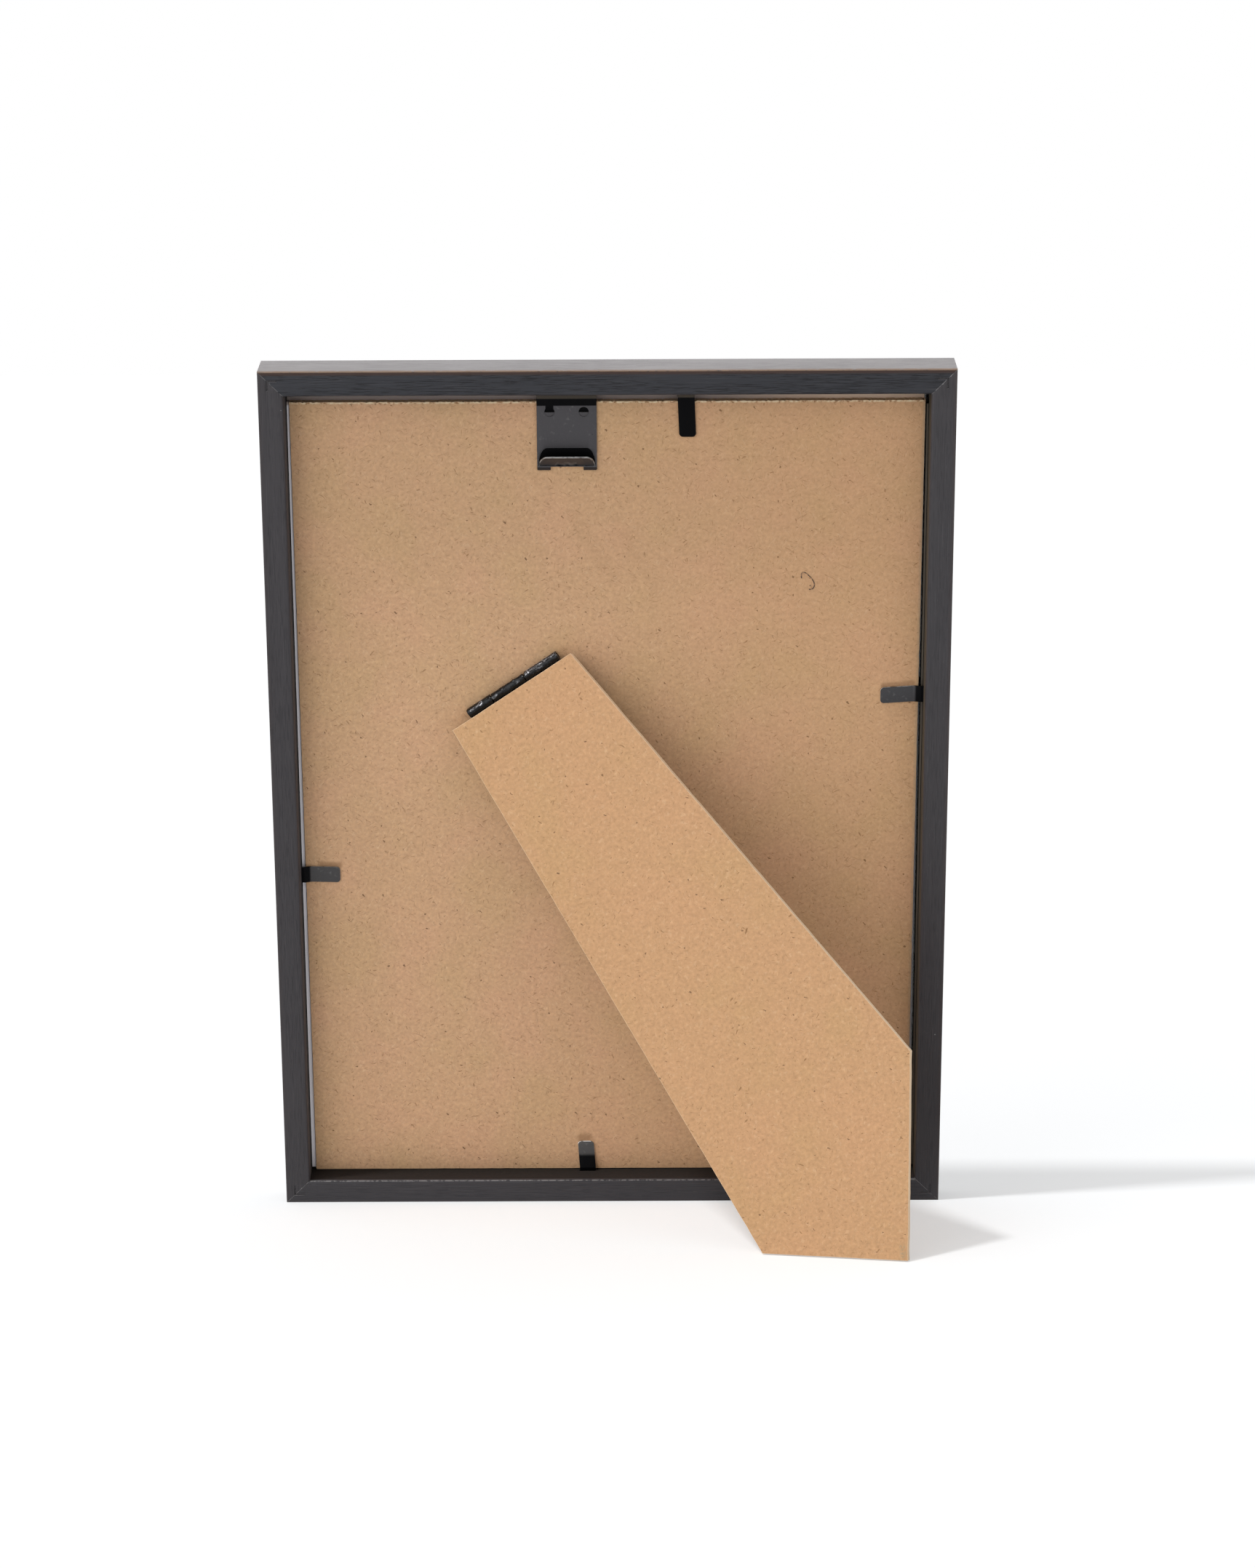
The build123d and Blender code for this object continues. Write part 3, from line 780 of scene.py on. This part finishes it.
# Leg
legCut = {
    "corners": [(-18.2, -1.6), (-19.45, -147.73), (9.667, -166.99), (36.365, -125.485), (16.5, -1.6)],
    "ragged": [0.03, 0.02, 0.03, 0.03, 0.03],
    "spacing": [2.5] * 5,
    "seed": 9,
    "thickness": 2.5,
    "burr": 0.11,
    "smooth": 10.0,  # degrees
    "opening": 24.0,
}
hingeMiddle = Vector(joints["leg_hinge"]["pos_m"])
hingeAlong = -Vector(joints["leg_hinge"]["axis"]).normalized()
hingeUp = outward.cross(hingeAlong)
opening = math.radians(legCut["opening"])
legUp = hingeUp * math.cos(opening) - outward * math.sin(opening)
legOut = hingeUp * math.sin(opening) + outward * math.cos(opening)
legPlace = placeAt(hingeMiddle + legOut * legCut["thickness"] / (2 * perMetre), hingeAlong, legUp, legOut)
legMaterial = boardFinish("legFibreboard", legLook, hingeMiddle, hingeAlong, legUp, legOut, legMarks)
legBlank = flatBlank(raggedOutline(legCut), [], legCut["thickness"], legCut["burr"])
leg = finishMesh("leg", legBlank, legPlace, legMaterial, legCut["smooth"])
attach(leg, "leg")
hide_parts("easel_leg")
print("leg done")

# Tabs and hanging plate: strips of steel bent once at the rail and once where they meet the board
stripBend = {
    "thickness": 0.45,
    "drop": 0.725,  # from the rail's slot to the flat part
    "radius": 0.8,
    "root": 4.2, "taper": 1.8, "point": 0.5,  # how deep it is in the rail, its tapered part, its end's share
    "burr": 0.1,
    "arcSteps": 8,
}
bendStart, bendEnd = 0.0004, 0.0013  # metres from the rail, where a strip's bend starts and ends
sidePlaces = {
    "bottom": (across, upward, onBack(0, -size["height"] / 2 + size["wall"], size["bendLevel"])),
    "right": (upward, -across, onBack(size["width"] / 2 - size["wall"], 0, size["bendLevel"])),
    "top": (-across, -upward, onBack(0, size["height"] / 2 - size["wall"], size["bendLevel"])),
    "left": (-upward, across, onBack(-size["width"] / 2 + size["wall"], 0, size["bendLevel"])),
}


def alongSpan(span, step):
    start, length, y, z, heading, curve = span
    if curve == 0.0:
        return y + step * math.cos(heading), z + step * math.sin(heading), heading
    turned = heading + curve * step
    y += (math.sin(turned) - math.sin(heading)) / curve
    z += (math.cos(heading) - math.cos(turned)) / curve
    return y, z, turned


def laySpans(turns, y, z):
    # spans of a sheet's centre line: start, length, y, z, heading, curvature
    spans = []
    start, heading = 0.0, 0.0
    for length, curve in turns:
        spans.append((start, length, y, z, heading, curve))
        y, z, heading = alongSpan(spans[-1], length)
        start += length
    return spans


def bentLine(reach, knee):
    slope = math.atan2(stripBend["drop"], knee - size["bendOffset"])
    tangent = stripBend["radius"] * math.tan(slope / 2)
    ramp = math.hypot(stripBend["drop"], knee - size["bendOffset"]) - 2 * tangent
    turns = [
        (stripBend["root"] + size["bendOffset"] - tangent, 0.0),
        (stripBend["radius"] * slope, -1 / stripBend["radius"]),
        (ramp, 0.0),
        (stripBend["radius"] * slope, 1 / stripBend["radius"]),
        (reach - knee - tangent, 0.0),
    ]
    return laySpans(turns, -stripBend["root"], 0.0)


def bendSheet(sheet, spans):
    # lines are scored across the blank first, so that it bends round and not at its corners
    sheet.normal_update()
    rim = sheet.faces.layers.float.new("rim")
    for face in sheet.faces:
        face[rim] = 1.0 if abs(face.normal.z) < 0.8 else 0.0
    for start, length, y, z, heading, curve in spans:
        scores = max(6, round(abs(curve) * length / 0.2)) if curve else 3
        for step in range(scores + 1):
            score(sheet, (0, start + length * step / scores, 0), (0, 1, 0))
    for vert in sheet.verts:
        span = [span for span in spans if span[0] <= vert.co.y + 1e-6 or span is spans[0]][-1]
        y, z, heading = alongSpan(span, vert.co.y - span[0])
        lift = vert.co.z
        vert.co.y = y - lift * math.sin(heading)
        vert.co.z = z + lift * math.cos(heading)


# Hinge: each leaf is a plate whose fingers are rolled round the pin
hinge = {
    "width": 26.3, "length": 13.9, "thickness": 0.5, "roll": 0.94, "rollAngle": 290.0, "burr": 0.14,
    "cut": 1.75,  # from the pin to where the fingers part
    "middle": (-5.95, 3.35), "outer": [(-13.15, -6.3), (3.65, 13.15)],
    "heel": (0.3, 1.0), "heelLevel": (-1.24, -0.85),
    "lump": 0.13, "lumpSize": 1.3,
    "scoreFrom": -13.2, "scoreGap": 0.6, "scores": 44,
}
# painted highlights on the knuckles: start, end, half width, share
hingeGlints = [
    ((-12.2, 0.7), (-9.2, 0.75), 0.3, 0.35), ((-9.3, 0.7), (-8.9, 0.8), 0.5, 0.9),
    ((4.3, 0.7), (4.8, 0.8), 0.5, 0.9), ((5.2, 0.95), (12.6, 0.95), 0.22, 0.4),
    ((7.2, 0.2), (8.4, 0.3), 0.6, 0.22),
    ((-5.8, 0.3), (-4.6, 0.4), 0.4, 0.4), ((1.2, 0.3), (1.8, 0.4), 0.35, 0.3),
]


def leafBlank(fingers, spans, cut):
    length = spans[-1][0] + spans[-1][1]
    half = hinge["width"] / 2
    outline = [(half, cut), (half, 0.0), (-half, 0.0), (-half, cut)]
    for left, right in fingers:
        outline += [(left, cut), (left, length), (right, length), (right, cut)]
    outline = [spot for place, spot in enumerate(outline) if math.dist(spot, outline[place - 1]) > 0.1]
    sheet = flatBlank(outline[::-1], [], hinge["thickness"], hinge["burr"])
    for line in range(1, hinge["scores"]):
        score(sheet, (hinge["scoreFrom"] + line * hinge["scoreGap"], 0, 0), (1, 0, 0))
    bendSheet(sheet, spans)
    # the knuckles came out a little lumpy
    sheet.normal_update()
    for vert in sheet.verts:
        if math.hypot(vert.co.y, vert.co.z) > hinge["roll"] and vert.co.y > -1.3:
            lump = noise.noise(vert.co / hinge["lumpSize"]) - 0.35
            vert.co += Vector((0, vert.co.y, vert.co.z)).normalized() * lump * hinge["lump"]
    return sheet


def addHeels(sheet):
    # the outer knuckles end in a heel that comes to rest on the board
    low, high = hinge["heelLevel"]
    near, far = hinge["heel"]
    for left, right in hinge["outer"]:
        corners = []
        for x in (left + 0.1, right - 0.1):
            for y, z in ((near, low), (far, low), (far, high), (near, high)):
                turnedY = y * math.cos(opening) - z * math.sin(opening)
                turnedZ = y * math.sin(opening) + z * math.cos(opening)
                corners.append(sheet.verts.new((x, turnedY, turnedZ)))
        sides = [(spot, (spot + 1) % 4, (spot + 1) % 4 + 4, spot + 4) for spot in range(4)]
        for side in sides + [(0, 1, 2, 3), (4, 5, 6, 7)]:
            sheet.faces.new([corners[spot] for spot in side])


hingeLacquer = lacquerFinish("hingeLacquer", hingeGlints)
roll = (math.radians(hinge["rollAngle"]) * hinge["roll"], 1 / hinge["roll"])
boardTurns = [(hinge["length"], 0.0), roll]
boardSpans = laySpans(boardTurns, -hinge["length"], -hinge["roll"])
boardLeafSheet = leafBlank([hinge["middle"]], boardSpans, hinge["length"] - hinge["cut"])
boardLeafPlace = placeAt(hingeMiddle, hingeAlong, hingeUp, outward)
boardLeaf = finishMesh("boardLeaf", boardLeafSheet, boardLeafPlace, hingeLacquer)
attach(boardLeaf, "frame")
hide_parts("hinge_board_leaf")

# the leg's leaf lies on the leg and steps down to the pin
step = {"level": -0.3, "radius": 0.8}
stepAngle = math.acos(1.0 - (hinge["roll"] + step["level"]) / (2 * step["radius"]))
stepReach = 2 * step["radius"] * math.sin(stepAngle)
legTurns = [
    (hinge["length"] - stepReach, 0.0),
    (step["radius"] * stepAngle, -1 / step["radius"]),
    (step["radius"] * stepAngle, 1 / step["radius"]),
    roll,
]
legSpans = laySpans(legTurns, -hinge["length"], step["level"])
legLeafSheet = leafBlank(hinge["outer"], legSpans, hinge["length"] - hinge["cut"])
addHeels(legLeafSheet)
legLeafPlace = placeAt(hingeMiddle, hingeAlong, legUp, legOut)
legLeaf = finishMesh("legLeaf", legLeafSheet, legLeafPlace, hingeLacquer)
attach(legLeaf, "leg")
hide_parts("hinge_leg_leaf")
dress(nodes["hinge_pin"], wireFinish("pinSteel", tone(0.035, 0.034, 0.034), 0.3))
print("hinge done")


def stripOutline(width, length, corner):
    half = width / 2
    point = half * stripBend["point"]
    outline = [(-half, stripBend["taper"]), (-point, 0.0), (point, 0.0), (half, stripBend["taper"])]
    outline += cornerArc(half - corner, length - corner, corner, 0, 90, stripBend["arcSteps"])
    outline += cornerArc(-half + corner, length - corner, corner, 90, 180, stripBend["arcSteps"])
    return outline


# along its length in millimetres a tab is brown, then black, then grey; past its ends means nowhere
# the brown and the black are painted shade, the black also painted dark reflection
tabSettings = {
    "bottom": {
        "at": -6.2, "reach": 7.75, "knee": 3.5, "lean": -0.07,
        "black": (-0.5, 4.1), "grey": tone(0.085, 0.083, 0.083), "edge": 1.0, "bright": 4.5, "tip": 50.0,
        "brown": -9.0, "fade": 0.6, "blots": [],
    },
    "right": {
        "at": 25.3, "reach": 10.4, "knee": 2.4, "lean": -0.06,
        "black": (0.0, 2.0), "grey": tone(0.056, 0.055, 0.058), "edge": 0.45, "bright": 2.0, "tip": 50.0,
        "brown": -9.0, "fade": 0.35, "blots": [],
    },
    "top": {
        "at": -18.5, "reach": 11.6, "knee": 2.4, "lean": -0.04,
        "black": (0.0, 13.0), "grey": tone(0.05, 0.05, 0.05), "edge": 0.0, "bright": 2.0, "tip": 50.0,
        "brown": 1.95, "fade": 0.1, "blots": [],
    },
    "left": {
        "at": 20.9, "reach": 9.5, "knee": 2.4, "lean": 0.025,
        "black": (0.0, 2.2), "grey": tone(0.064, 0.062, 0.063), "edge": 0.45, "bright": 2.0, "tip": 50.0,
        "brown": -9.0, "fade": 0.35, "blots": [],
    },
}
tabWidth, tabCorner = 4.0, 0.9
for side, tab in tabSettings.items():
    alongRail, inward, origin = sidePlaces[side]
    origin = origin + alongRail * tab["at"] * mm
    spans = bentLine(tab["reach"], tab["knee"])
    length = spans[-1][0] + spans[-1][1]
    outline = stripOutline(tabWidth, length, tabCorner)
    sheet = flatBlank(outline, [], stripBend["thickness"], stripBend["burr"])
    bendSheet(sheet, spans)
    for vert in sheet.verts:
        vert.co.x += tab["lean"] * max(0.0, vert.co.y - size["bendOffset"])
    tabPlace = placeAt(origin, alongRail, inward, outward)
    strip = finishMesh(side + "Tab", sheet, tabPlace, steelFinish(side + "TabSteel", tab))
    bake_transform(strip, "frame", side + "_tab", origin + inward * bendStart, origin + inward * bendEnd)
    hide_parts(side + "_tab_root", side + "_tab_blade")
print("tabs done")

plate = {
    "at": 9.7, "width": 14.2, "reach": 19.6, "knee": 3.5, "corner": 0.25,
    "notchWidth": 7.8, "notchDepth": 0.85,
    "windowFoot": 1.0, "windowHeight": 4.4, "windowHalf": 6.75, "crownHalf": 4.7,
    "tongueAngle": 50.0, "tongueTrim": 0.12, "tongueThickness": 0.36, "tongueGrid": (24, 96),
    "flutes": (-2.1, 0.0, 2.1), "fluteWidth": 0.62, "fluteReach": 1.7, "fluteDepth": 0.28,
    "webThickness": 0.02, "webMargin": 0.2, "webStart": 0.5, "webEnd": 0.05, "webGap": 0.005,
    "dimpleReach": 5.4, "dimpleSpread": 8.1, "dimpleRadius": 1.2, "dimpleSteps": 16,
    "nubHeight": 0.42, "nubSink": 0.05, "nubWall": 0.16, "nubRings": 6,
    "burr": 0.08,
    "grey": tone(0.066, 0.063, 0.067), "black": (1.0, 3.9), "edge": 0.4, "bright": 14.0, "tip": 18.8,
    "brown": 2.1, "fade": 0.1, "blots": [(4.05, 3.8, 5.45, 0.95)],
}


def archHalf(height, trim=0.0):
    # half width of the window's arch at some height above its foot
    share = min(1.0, max(0.0, height / (plate["windowHeight"] - trim)))
    spread = (plate["windowHalf"] - plate["crownHalf"]) * math.sqrt(1.0 - share * share)
    return plate["crownHalf"] - trim + spread


def plateLoops(length):
    offset = length - plate["reach"]  # from the distance to the rail to the blank's own length
    notch = plate["notchWidth"] / 2
    tip = length - plate["notchDepth"]
    outline = stripOutline(plate["width"], length, plate["corner"])
    middle = (len(outline) + 4) // 2  # after the root's four points and the first rounded corner
    outline[middle:middle] = [(notch, length), (notch, tip), (-notch, tip), (-notch, length)]
    foot = length - plate["windowFoot"]
    heights = [plate["windowHeight"] * math.sin(math.radians(step * 9)) for step in range(11)]
    window = [(archHalf(height), foot - height) for height in heights]
    window += [(-archHalf(height), foot - height) for height in reversed(heights)]
    holes = [window]
    for side in (-1, 1):
        x, y = side * plate["dimpleSpread"] / 2, plate["dimpleReach"] + offset
        holes.append(cornerArc(x, y, plate["dimpleRadius"], 180, 360, plate["dimpleSteps"]))
    return outline, holes


def addTongue(sheet):
    # pushed out of the window about its foot, with three flutes across the bend
    rows, columns = plate["tongueGrid"]
    rim = sheet.faces.layers.float["rim"]
    angle = math.radians(plate["tongueAngle"])
    foot = plate["reach"] - plate["windowFoot"]
    top = -stripBend["drop"]
    tallest = plate["windowHeight"] - plate["tongueTrim"]
    grid = []
    for row in range(rows + 1):
        height = tallest * math.sin(math.radians(90.0 * row / rows))
        half = archHalf(height, plate["tongueTrim"])
        line = []
        for column in range(columns + 1):
            x = half * (2 * column / columns - 1)
            flute = sum(math.exp(-((x - middle) / plate["fluteWidth"]) ** 2) for middle in plate["flutes"])
            sink = plate["fluteDepth"] * flute * max(0.0, 1.0 - height / plate["fluteReach"])
            y = foot - height * math.cos(angle) - sink * math.sin(angle)
            z = top + height * math.sin(angle) - sink * math.cos(angle) * 0.4
            line.append(sheet.verts.new((x, y, z)))
        grid.append(line)
    # bare round its edge and paler there as painted highlight, and paler in a wavy patch over the flutes: painted
    # highlight
    faces = skinRows(sheet, grid)
    for place, face in enumerate(faces):
        row, column = divmod(place, columns)
        x = 2 * archHalf(0.0) * (column / columns - 0.5)
        wave = math.cos(math.pi * x / plate["flutes"][2]) ** 2
        glintRows = 5.5 + 2.5 * wave - 9.0 * max(0.0, abs(x) - 2.4)
        atEdge = row >= rows - 4 or column in (0, columns - 1)
        face[rim] = 0.9 if atEdge else 0.2 if row < glintRows else 0.0
    bmesh.ops.solidify(sheet, geom=faces, thickness=plate["tongueThickness"])


def addNub(sheet, middle):
    # half a dome pressed out of the plate, open towards the rail
    rings, steps = plate["nubRings"], plate["dimpleSteps"]
    top = stripBend["thickness"] / 2 - stripBend["drop"] - plate["nubSink"]
    lines = []
    for ring in range(rings + 1):
        rise = math.radians(90.0 * ring / rings)
        radius = plate["dimpleRadius"] * math.cos(rise)
        height = top + (plate["nubHeight"] + plate["nubSink"]) * math.sin(rise)
        line = []
        for step in range(steps + 1):
            turn = math.pi * step / steps
            x, y = middle + radius * math.cos(turn), plate["dimpleReach"] + radius * math.sin(turn)
            line.append(sheet.verts.new((x, y, height)))
        lines.append(line)
    bmesh.ops.solidify(sheet, geom=skinRows(sheet, lines), thickness=plate["nubWall"])


def addWeb(sheet):
    # black film under the plate, which closes its openings from behind
    half = plate["width"] / 2 - plate["webMargin"]
    low, high = plate["knee"] + plate["webStart"], plate["reach"] - plate["notchDepth"] - plate["webEnd"]
    level = -stripBend["drop"] - stripBend["thickness"] / 2 - plate["webGap"]
    for vert in bmesh.ops.create_cube(sheet, size=1.0)["verts"]:
        x, y, z = vert.co
        vert.co = (2 * half * x, low + (high - low) * (y + 0.5), level + plate["webThickness"] * (z - 0.5))


alongRail, inward, origin = sidePlaces["top"]
origin = origin + alongRail * plate["at"] * mm
spans = bentLine(plate["reach"], plate["knee"])
outline, holes = plateLoops(spans[-1][0] + spans[-1][1])
sheet = flatBlank(outline, holes, stripBend["thickness"], plate["burr"])
bendSheet(sheet, spans)
addTongue(sheet)
for side in (-1, 1):
    addNub(sheet, side * plate["dimpleSpread"] / 2)
addWeb(sheet)
platePlace = placeAt(origin, alongRail, inward, outward)
hanger = finishMesh("hangingPlate", sheet, platePlace, steelFinish("hangerSteel", plate))
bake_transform(hanger, "frame", "hanger", origin + inward * bendStart, origin + inward * bendEnd)
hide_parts("hanger_root", "hanger_plate")
print("hanging plate done")

# Floor, light and camera
floorLook = {"size": 30.0, "pale": tone(0.97, 0.985, 1.0), "lift": 0.4}
floorMesh = bpy.data.meshes.new("floor")
half = floorLook["size"] / 2
floorCorners = [(-half, -half, 0), (half, -half, 0), (half, half, 0), (-half, half, 0)]
floorMesh.from_pydata(floorCorners, [], [(0, 1, 2, 3)])
floor = bpy.data.objects.new("floor", floorMesh)
scene.collection.objects.link(floor)


def seenDirectly(finish):
    # 1 where the camera, a mirror or a clear sheet looks straight at it
    seen = finish.node("ShaderNodeLightPath", out="Is Camera Ray")
    for kind in ("Is Glossy Ray", "Is Transmission Ray"):
        seen = seen.atLeast(finish.node("ShaderNodeLightPath", out=kind))
    return seen


# pale paper, lifted towards white where it is seen
paper = Finish("palePaper")
paperSkin = paper.shader({"Base Color": floorLook["pale"], "Roughness": 1.0, "Specular IOR Level": 0.0})
paperGlow = paper.node("ShaderNodeEmission", None, {"Color": tone(1, 1, 1), "Strength": 1.0})
paperMix = {0: seenDirectly(paper) * floorLook["lift"], 1: paperSkin, 2: paperGlow}
dress(floor, paper.done(paper.node("ShaderNodeMixShader", None, paperMix)))

lamps = {
    "keyLamp": {"azimuth": -54.0, "elevation": 58.4, "strength": 1.6, "spread": 5.0},
    "fillLamp": {"azimuth": -42.0, "elevation": 12.0, "strength": 1.2, "spread": 50.0},
}
for name, lamp in lamps.items():
    azimuth, elevation = math.radians(lamp["azimuth"]), math.radians(lamp["elevation"])
    flat = Vector((math.sin(azimuth), -math.cos(azimuth), 0.0))
    aim = flat * math.cos(elevation) + Vector((0, 0, math.sin(elevation)))
    lampData = bpy.data.lights.new(name, "SUN")
    lampData.energy = lamp["strength"]
    lampData.angle = math.radians(lamp["spread"])
    lampPiece = bpy.data.objects.new(name, lampData)
    lampPiece.rotation_euler = aim.to_track_quat("Z", "Y").to_euler()
    scene.collection.objects.link(lampPiece)

# a pale room all round, plain white where it is seen or mirrored
roomLevel = 0.57
room = Finish("paleRoom", bpy.data.worlds)
seen = seenDirectly(room)
roomGlow = {"Color": tone(1, 1, 1), "Strength": roomLevel + seen * (1.0 - roomLevel)}
glow = room.node("ShaderNodeBackground", None, roomGlow)
scene.world = room.done(glow, "ShaderNodeOutputWorld")

# the camera, from the frame's own axes
view = {
    "turn": (19.4634, 0.1002, -0.2476),  # degrees about this direction
    "shift": (-4.2716, 4.2178, 969.414),  # mm
    "focal": 5487.94, "tall": 2156.0,  # pixels
    "sensor": 36.0,  # mm
}
turn = Vector(view["turn"])
flip = Matrix(((1, 0, 0), (0, -1, 0), (0, 0, -1)))
look = Matrix.Rotation(math.radians(turn.length), 3, turn.normalized()) @ flip
eye = onBack(*(-(look.transposed() @ Vector(view["shift"]))))
toObject = Matrix((across, upward, outward)).transposed()
rightWay, downWay, awayWay = (toObject @ look[row] for row in range(3))
cameraData = bpy.data.cameras.new("camera")
cameraData.sensor_fit = "VERTICAL"
cameraData.sensor_height = view["sensor"]
cameraData.lens = view["focal"] / view["tall"] * view["sensor"]
cameraData.clip_start = 0.01
camera = bpy.data.objects.new("camera", cameraData)
cameraTurn = Matrix((rightWay, -downWay, -awayWay)).transposed()
camera.matrix_world = Matrix.Translation(eye) @ cameraTurn.to_4x4()
scene.collection.objects.link(camera)
scene.camera = camera
print("floor, light and camera done")
